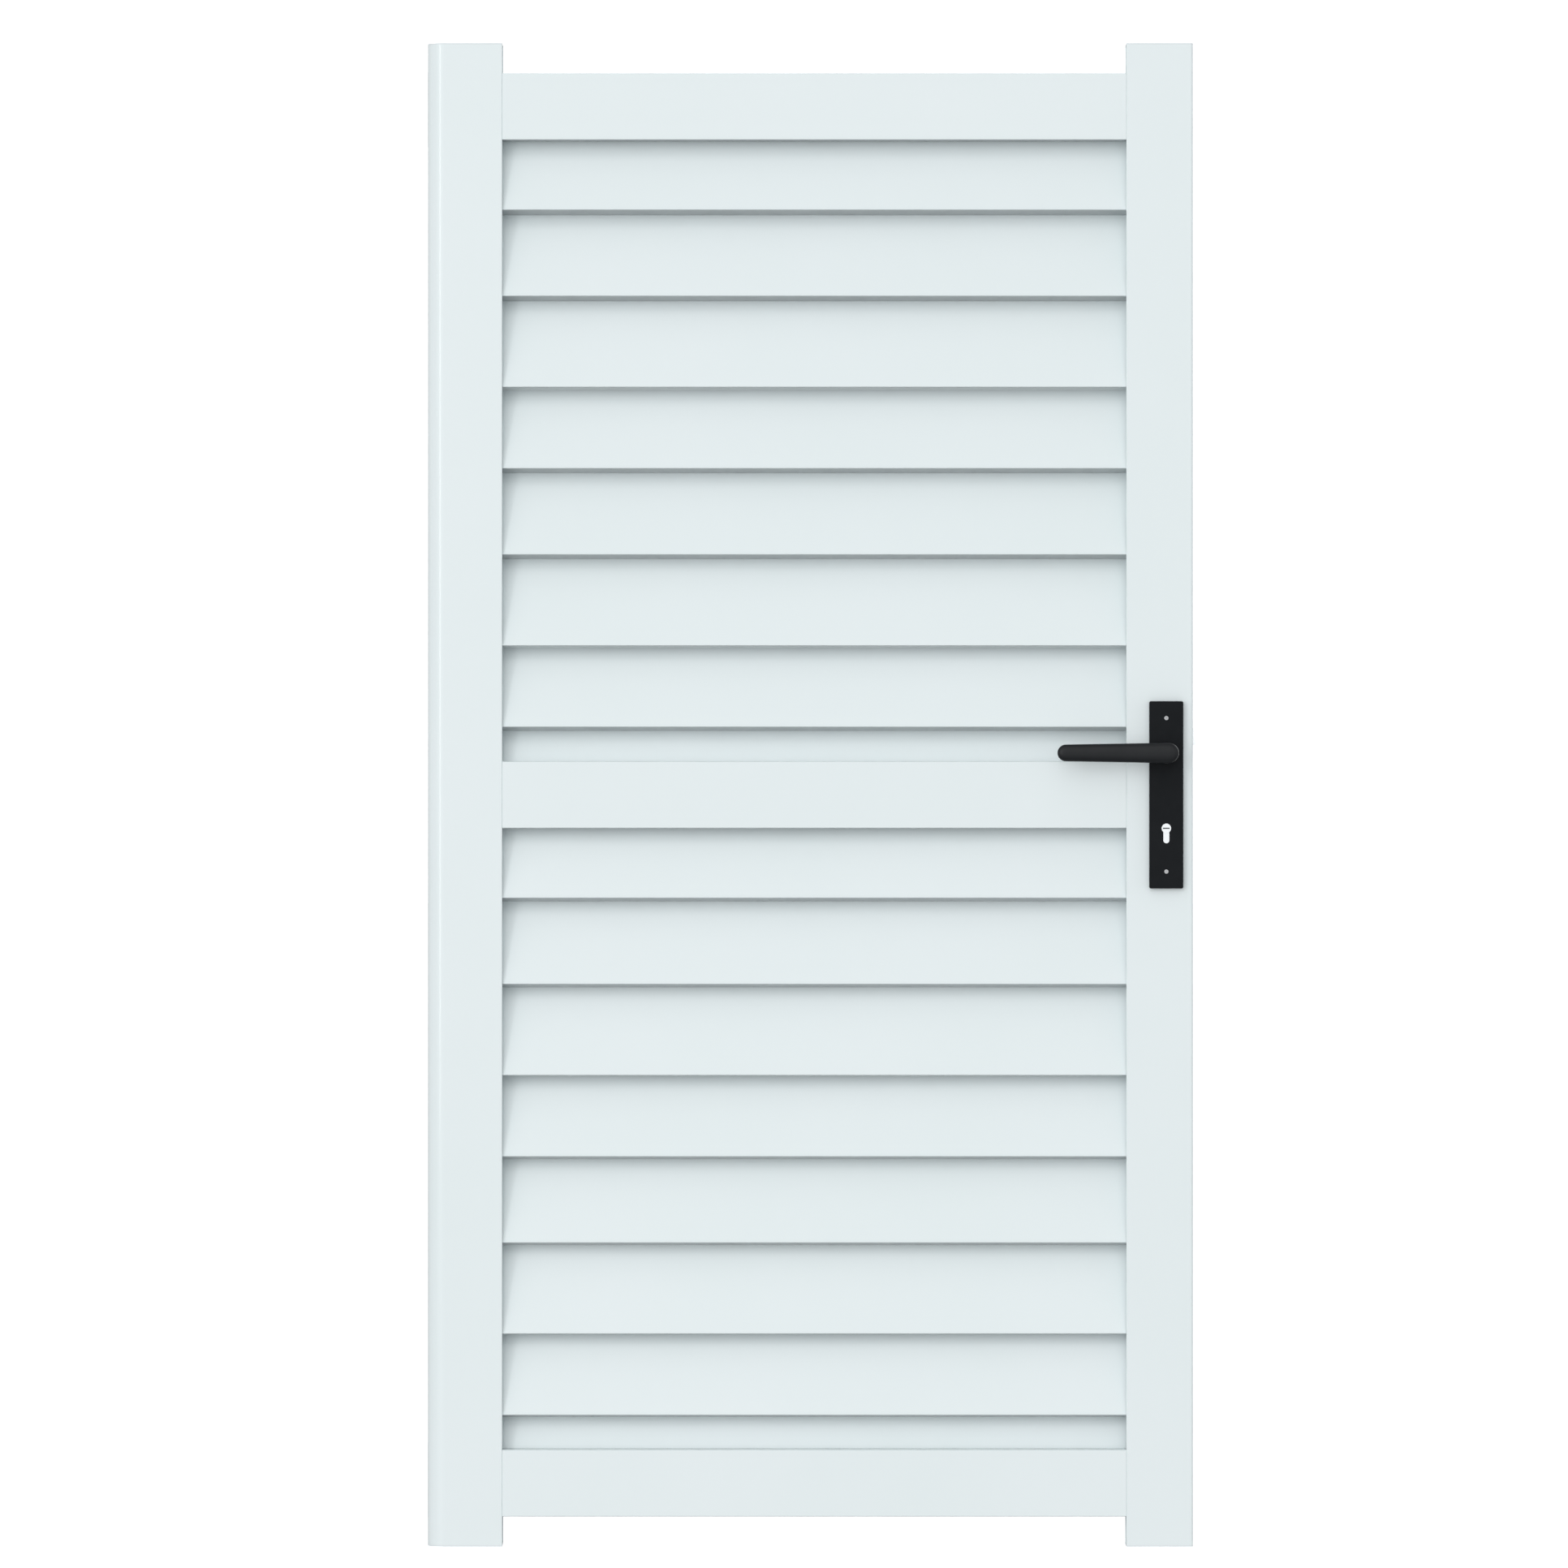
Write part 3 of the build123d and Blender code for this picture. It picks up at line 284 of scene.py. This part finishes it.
METALS = {
    "nickel_plate": ((0.76, 0.79, 0.81), (0.83, 0.86, 0.88), 0.26, (900, 300, 900), 0.000006),
    "stainless_steel": ((0.36, 0.37, 0.38), (0.46, 0.47, 0.48), 0.32, (500, 3500, 40), 0.000012),
    "zinc_plated_steel": ((0.4, 0.42, 0.45), (0.55, 0.56, 0.56), 0.36, (900, 900, 900), 0.00002),
    "cast_aluminium": ((0.5, 0.51, 0.52), (0.62, 0.63, 0.63), 0.55, (1400, 1400, 1400), 0.00006),
    "spring_steel": ((0.22, 0.22, 0.23), (0.33, 0.33, 0.34), 0.34, (4000, 4000, 60), 0.00001),
    "brass": ((0.62, 0.45, 0.2), (0.75, 0.57, 0.28), 0.32, (1800, 1800, 90), 0.00001),
}
finish_of_slot = {name: metal(name, *look) for name, look in METALS.items()}
finish_of_slot["white_powder_coat"] = white_powder_coat()
finish_of_slot["black_powder_coat"] = black_powder_coat("black_powder_coat", 0.46, 0.08)
finish_of_slot["white_nylon"] = nylon("white_nylon", (0.74, 0.8, 0.82), (0.78, 0.84, 0.86))
finish_of_slot["black_nylon"] = nylon("black_nylon", (0.018, 0.018, 0.02), (0.028, 0.028, 0.03))
for subpart in record["subparts"]:
    mesh = nodes[subpart["node"]].data
    mesh.materials.clear()
    mesh.materials.append(finish_of_slot[subpart["material_slot"]])


# ---- mesh helpers ----
SLIVER = 2e-5
SEAM = 1e-6
SAME_POINT = 1e-7


def made_object(name, shape, material):
    bmesh.ops.recalc_face_normals(shape, faces=shape.faces)
    mesh = bpy.data.meshes.new(name)
    shape.to_mesh(mesh)
    shape.free()
    mesh.materials.append(material)
    thing = bpy.data.objects.new(name, mesh)
    bpy.context.scene.collection.objects.link(thing)
    return thing


def settle(thing):
    """Apply a made piece's modifiers to its own mesh."""
    bpy.context.view_layer.update()
    seen = thing.evaluated_get(bpy.context.evaluated_depsgraph_get())
    mesh = bpy.data.meshes.new_from_object(seen)
    thing.modifiers.clear()
    thing.data = mesh


def clean(thing):
    """Drop the slivers that a boolean leaves behind."""
    shape = bmesh.new()
    shape.from_mesh(thing.data)
    bmesh.ops.remove_doubles(shape, verts=shape.verts, dist=SLIVER)
    bmesh.ops.dissolve_degenerate(shape, edges=shape.edges, dist=SLIVER)
    bmesh.ops.triangulate(shape, faces=[f for f in shape.faces if len(f.verts) > 4])
    shape.to_mesh(thing.data)
    shape.free()


def add_ring(shape, points):
    return [shape.verts.new(point) for point in points]


def bridge(shape, first, second):
    count = len(first)
    for n in range(count):
        after = (n + 1) % count
        shape.faces.new((first[n], first[after], second[after], second[n]))


def close_with_pole(shape, ring, pole):
    top = shape.verts.new(pole)
    count = len(ring)
    for n in range(count):
        shape.faces.new((ring[n], ring[(n + 1) % count], top))


def turned(profile, centre, segments):
    """A closed solid turned about Y through centre, from [(y, radius), ...]."""
    shape = bmesh.new()
    angles = [2 * math.pi * n / segments for n in range(segments)]
    rings = []
    for y, radius in profile:
        across = [(centre.x + radius * math.cos(a), centre.z + radius * math.sin(a)) for a in angles]
        rings.append(add_ring(shape, [(x, y, z) for x, z in across]))
    for first, second in zip(rings, rings[1:]):
        bridge(shape, first, second)
    shape.faces.new(rings[0])
    shape.faces.new(rings[-1])
    return shape


def combine(thing, other, operation):
    step = thing.modifiers.new(operation.lower(), "BOOLEAN")
    step.operation = operation
    step.solver = "EXACT"
    step.object = other
    settle(thing)
    bpy.data.objects.remove(other)


# ---- levers: a crowned, tapered bar on a flared neck ----
TIP_SHARE = 0.828
BAR_DEPTH = 0.012
BAR_SECTION_POINTS = 40
BAR_SQUARENESS = 2.35
END_STEPS = 9
BODY_STEPS = 14
TIP_FULLNESS = 0.62
PIVOT_FULLNESS = 0.3
NECK_RADIUS = 0.010
NECK_FLARE = 0.0012
FLARE_LENGTH = 0.004
NECK_SINK = 0.37
SHOULDER_ARRIS = 0.0006
FLARE_STEPS = 6
SPIGOT_RADIUS = 0.009
NECK_GAP = 0.002
GRUB_FROM_PLATE = 0.010
GRUB_ROOM = 0.00255
GRUB_DROP = 1.3
GRUB_SEGMENTS = 32
LEVER_CREASE = math.radians(42)
TURNED_SEGMENTS = 64


def bar_shape(low_x, high_x, centre_y, pivot_radius):
    """Lofted rings from the tip on the left to the round pivot end on the right."""
    tip_radius = pivot_radius * TIP_SHARE
    tip_x = low_x + tip_radius
    pivot_x = high_x - pivot_radius
    stations = []
    for step in range(1, END_STEPS):
        a = math.pi / 2 * step / END_STEPS
        size = math.sin(a)
        stations.append((tip_x - tip_radius * math.cos(a), tip_radius * size, size**TIP_FULLNESS))
    for step in range(BODY_STEPS + 1):
        share = step / BODY_STEPS
        radius = tip_radius + (pivot_radius - tip_radius) * share
        stations.append((tip_x + (pivot_x - tip_x) * share, radius, 1.0))
    for step in range(END_STEPS - 1, 0, -1):
        a = math.pi / 2 * step / END_STEPS
        size = math.sin(a)
        depth = size**PIVOT_FULLNESS
        stations.append((pivot_x + pivot_radius * math.cos(a), pivot_radius * size, depth))
    shape = bmesh.new()
    rings = []
    for x, half_height, depth in stations:
        points = []
        for n in range(BAR_SECTION_POINTS):
            a = 2 * math.pi * n / BAR_SECTION_POINTS
            rise = math.copysign(abs(math.sin(a)) ** (2 / BAR_SQUARENESS), math.sin(a))
            way = math.copysign(abs(math.cos(a)) ** (2 / BAR_SQUARENESS), math.cos(a))
            y = centre_y + way * depth * BAR_DEPTH / 2
            points.append((x, y, spindle.z + rise * half_height))
        rings.append(add_ring(shape, points))
    for first, second in zip(rings, rings[1:]):
        bridge(shape, first, second)
    close_with_pole(shape, rings[0], (low_x, centre_y, spindle.z))
    close_with_pole(shape, rings[-1], (high_x, centre_y, spindle.z))
    return shape


def neck_profile(side, bar_back, plate_face, spigot_end):
    """Radii along Y from inside the bar to the end of the spigot, for one side of the leaf."""
    wide = NECK_RADIUS + NECK_FLARE
    profile = [(bar_back + side * BAR_DEPTH * NECK_SINK, wide)]
    for step in range(FLARE_STEPS + 1):
        share = step / FLARE_STEPS
        swell = NECK_FLARE * (1 - math.sin(share * math.pi / 2))
        profile.append((bar_back - side * FLARE_LENGTH * share, NECK_RADIUS + swell))
    shoulder = plate_face + side * NECK_GAP
    profile.append((shoulder + side * SHOULDER_ARRIS, NECK_RADIUS))
    profile.append((shoulder, NECK_RADIUS - SHOULDER_ARRIS))
    profile.append((shoulder - side * SHOULDER_ARRIS / 3, SPIGOT_RADIUS))
    profile.append((spigot_end, SPIGOT_RADIUS))
    return profile


def grub_hole(centre_y):
    """A cutter for the grub screw's hole, from below into the neck."""
    shape = bmesh.new()
    bmesh.ops.create_cone(
        shape,
        cap_ends=True,
        segments=GRUB_SEGMENTS,
        radius1=GRUB_ROOM,
        radius2=GRUB_ROOM,
        depth=2 * NECK_RADIUS,
    )
    below = Vector((spindle.x, centre_y, spindle.z - GRUB_DROP * NECK_RADIUS))
    bmesh.ops.translate(shape, verts=shape.verts, vec=below)
    return made_object("grub_hole", shape, smooth_black)


def lever(prefix, side):
    """side is -1 for the outside of the leaf and 1 for the garden side."""
    node = f"{prefix}_lever"
    low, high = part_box(node)
    plate_low, plate_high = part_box(f"{prefix}_handle_plate")
    outer_y = low.y if side < 0 else high.y
    spigot_end = high.y if side < 0 else low.y
    plate_face = plate_low.y if side < 0 else plate_high.y
    bar_back = outer_y - side * BAR_DEPTH
    bar = bar_shape(low.x, high.x, outer_y - side * BAR_DEPTH / 2, (high.z - low.z) / 2)
    piece = made_object(f"{prefix}_lever_grip", bar, smooth_black)
    finer = piece.modifiers.new("finer", "SUBSURF")
    finer.levels = finer.render_levels = 1
    settle(piece)
    profile = neck_profile(side, bar_back, plate_face, spigot_end)
    neck = made_object("neck", turned(profile, spindle, TURNED_SEGMENTS), smooth_black)
    combine(piece, neck, "UNION")
    combine(piece, grub_hole(plate_face + side * GRUB_FROM_PLATE), "DIFFERENCE")
    clean(piece)
    piece.data.shade_smooth()
    piece.data.set_sharp_from_angle(angle=LEVER_CREASE)
    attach(piece, "handle")
    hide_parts(node)


smooth_black = black_powder_coat("smooth_black_coat", 0.36, 0.24)
lever("front", -1)
lever("back", 1)

# ---- keyways: the warded channel inside each plug ----
SLOT_HALF_WIDTH = 0.0040
SLOT_HALF_HEIGHT = 0.00060
WARD_REACH = 0.00045
KEYWAY_DEPTH = 0.0215
KEYWAY_SINK = 0.0002
LINER = 0.00006
KEYWAY_END = 0.00024
WARDS = [(-0.0024, -0.0010), (0.0006, 0.0019)]


def keyway_outline(half_width, half_height, wards):
    """The slot's outline as (x, z), with a ward hanging from above and one standing below."""
    (upper_left, upper_right), (lower_left, lower_right) = wards
    top, foot = half_height, -half_height
    return [
        (-half_width, foot),
        (lower_left, foot),
        (lower_left, foot + WARD_REACH),
        (lower_right, foot + WARD_REACH),
        (lower_right, foot),
        (half_width, foot),
        (half_width, top),
        (upper_right, top),
        (upper_right, top - WARD_REACH),
        (upper_left, top - WARD_REACH),
        (upper_left, top),
        (-half_width, top),
    ]


def keyway_side(x):
    """Move a point at the channel's end out to the slot's end."""
    at_end = abs(x) > SLOT_HALF_WIDTH - 2 * LINER
    return math.copysign(SLOT_HALF_WIDTH, x) if at_end else x


def keyway(prefix, side):
    """The channel inside one plug, in one piece with its two wards, coloured near-black as painted
    shade.
    """
    low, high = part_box(f"{prefix}_plug")
    face_y = low.y if side < 0 else high.y
    mouth = face_y - side * KEYWAY_SINK
    inner_end = face_y - side * (KEYWAY_DEPTH - KEYWAY_END)
    outer_end = face_y - side * KEYWAY_DEPTH
    inner = keyway_outline(SLOT_HALF_WIDTH - LINER, SLOT_HALF_HEIGHT - LINER, WARDS)
    outer = [(keyway_side(x), math.copysign(SLOT_HALF_HEIGHT, z)) for x, z in inner]
    shape = bmesh.new()

    def ring(outline, y):
        return add_ring(shape, [(key_axis.x + x, y, key_axis.z + z) for x, z in outline])

    outer_far, outer_mouth = ring(outer, outer_end), ring(outer, mouth)
    inner_mouth, inner_far = ring(inner, mouth), ring(inner, inner_end)
    bridge(shape, outer_far, outer_mouth)
    bridge(shape, outer_mouth, inner_mouth)
    bridge(shape, inner_mouth, inner_far)
    shape.faces.new(inner_far)
    shape.faces.new(outer_far)
    bmesh.ops.remove_doubles(shape, verts=shape.verts, dist=SAME_POINT)
    piece = made_object(f"{prefix}_keyway", shape, keyway_shade_finish)
    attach(piece, "key_core")


# the keyway channels carry the near-black painted shade
keyway_shade_finish = keyway_painted_shade()
keyway("front", -1)
keyway("back", 1)


# ---- latch spring: a smooth copy of its coil ----
def latch_coil():
    """A welded, smooth-shaded copy of the spring's coil, carried by the leaf."""
    shape = bmesh.new()
    shape.from_mesh(nodes["latch_spring"].data)
    bmesh.ops.remove_doubles(shape, verts=shape.verts, dist=SEAM)
    coil = made_object("latch_coil", shape, finish_of_slot["spring_steel"])
    coil.data.shade_smooth()
    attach(coil, "leaf")
    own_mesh(coil)
    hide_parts("latch_spring")


latch_coil()

# ---- fine arrises on the sharp extrusions and pressed parts ----
ARRIS_ANGLE = math.radians(40)
ARRIS_SEGMENTS = 2
ARRISES = {
    0.0003: [name for name in nodes if "_plank_" in name],
    0.0004: ["top_leaf_hinge", "bottom_leaf_hinge", "top_pillar_hinge", "bottom_pillar_hinge"],
    0.0002: ["lock_faceplate", "latch_bolt", "cylinder_body"],
}


def soften(name, width):
    weld = nodes[name].modifiers.new("joined", "WELD")
    weld.merge_threshold = SEAM
    arris = nodes[name].modifiers.new("arris", "BEVEL")
    arris.width = width
    arris.segments = ARRIS_SEGMENTS
    arris.limit_method = "ANGLE"
    arris.angle_limit = ARRIS_ANGLE
    arris.harden_normals = True


for width, names in ARRISES.items():
    for name in names:
        soften(name, width)

# ---- stage: pale floor, white backdrop and a dome that only shiny surfaces see ----
FLOOR_GAP = 0.05
DOME_RADIUS = 60.0
ROOM_RADIUS = 55.0
FLOOR_SHARE = 0.99
DISC_SEGMENTS = 96
BALL_SEGMENTS = 48
BALL_RINGS = 24
TONE_SPREAD = 0.01
FLOOR_ALBEDO = 0.88
FLOOR_GLOW = 0.9
BACKDROP_ALBEDO = 0.9
BACKDROP_GLOW = 1.1
STAGE_RAYS = ("camera", "diffuse", "glossy", "transmission", "shadow")
ROOM_BASE = 0.3
ROOM_TIGHTNESS = 5.0
ROOM_PANELS = {(-20, 22): 1.45, (30, 10): 0.3, (160, 25): 1.5, (-100, 15): 0.7, (95, 8): 1.2}


def stage_surface(name, albedo, glow):
    s = Surface(name)
    s.colour(s.shade(s.noise(0.8).outputs[0], (max(albedo - TONE_SPREAD, 0.0),) * 3, (albedo,) * 3))
    s.put(Roughness=0.8, Emission_Color=(1, 1, 1, 1), Emission_Strength=glow)
    return s


def room_material():
    """What shiny surfaces reflect: a dim room with a few wide soft lights."""
    s = stage_surface("room", 0.0, 1.0)
    direction = s.node("ShaderNodeVectorMath", operation="NORMALIZE")
    s.link(s.place, "Object", direction, 0)
    lights = s.panels(direction.outputs["Vector"], ROOM_PANELS, ROOM_TIGHTNESS)
    glow = s.calculate("ADD", lights, ROOM_BASE)
    s.tree.links.new(glow, s.shader.inputs["Emission Strength"])
    return s.material


def stage_object(name, shape, material, centre, seen_by):
    thing = made_object(name, shape, material)
    thing.location = centre
    for ray in STAGE_RAYS:
        setattr(thing, f"visible_{ray}", ray in seen_by)


def disc():
    shape = bmesh.new()
    radius = DOME_RADIUS * FLOOR_SHARE
    bmesh.ops.create_circle(shape, cap_ends=True, radius=radius, segments=DISC_SEGMENTS)
    return shape


def ball(radius):
    shape = bmesh.new()
    bmesh.ops.create_uvsphere(shape, u_segments=BALL_SEGMENTS, v_segments=BALL_RINGS, radius=radius)
    return shape


floor_place = Vector((leaf_middle_x, leaf_front, leaf_foot - FLOOR_GAP))
floor_look = stage_surface("floor", FLOOR_ALBEDO, FLOOR_GLOW).material
backdrop_look = stage_surface("backdrop", BACKDROP_ALBEDO, BACKDROP_GLOW).material
stage_object("floor", disc(), floor_look, floor_place, ("camera",))
stage_object("backdrop", ball(DOME_RADIUS), backdrop_look, leaf_centre, ("camera",))
stage_object("room", ball(ROOM_RADIUS), room_material(), leaf_centre, ("glossy",))

# ---- light: soft panels around the leaf, strongest in front and a little above ----
PANEL_TIGHTNESS = 14.0
WIDE_TIGHTNESS = 4.0
PANELS = {
    (-100, 5): 1.3,
    (-55, 3): 0.9,
    (-10, 3): 2.03,
    (10, 3): 0.71,
    (60, 3): 0.85,
    (85, 3): 0.7,
    (-12, 22): 1.65,
    (125, 5): 1.5,
    (155, 12): 2.6,
    (-160, 8): 1.6,
    (-125, 5): 1.5,
}
WIDE_PANELS = {(-10, 65): 0.9, (-10, -60): 0.87}


def studio_world():
    world = bpy.data.worlds.new("studio")
    world.use_nodes = True
    g = Graph(world.node_tree)
    direction = g.place.outputs["Generated"]
    panels = g.panels(direction, PANELS, PANEL_TIGHTNESS)
    wide = g.panels(direction, WIDE_PANELS, WIDE_TIGHTNESS)
    background = g.node("ShaderNodeBackground")
    g.tree.links.new(g.calculate("ADD", panels, wide), background.inputs["Strength"])
    output = g.node("ShaderNodeOutputWorld")
    g.link(background, "Background", output, "Surface")
    bpy.context.scene.world = world
    world.cycles_visibility.glossy = False


def soft_light(name, azimuth, height, distance, size, power):
    data = bpy.data.lights.new(name, "AREA")
    data.shape = "RECTANGLE"
    data.size, data.size_y = size
    data.energy = power
    lamp = bpy.data.objects.new(name, data)
    away = outward(azimuth, height)
    lamp.location = leaf_centre + away * distance
    lamp.rotation_mode = "QUATERNION"
    lamp.rotation_quaternion = away.to_track_quat("Z", "Y")
    bpy.context.scene.collection.objects.link(lamp)


studio_world()
soft_light("key", azimuth=-30, height=8, distance=12.0, size=(1.0, 5.0), power=118)

bpy.context.scene.view_settings.view_transform = "Standard"
bpy.context.scene.view_settings.look = "None"
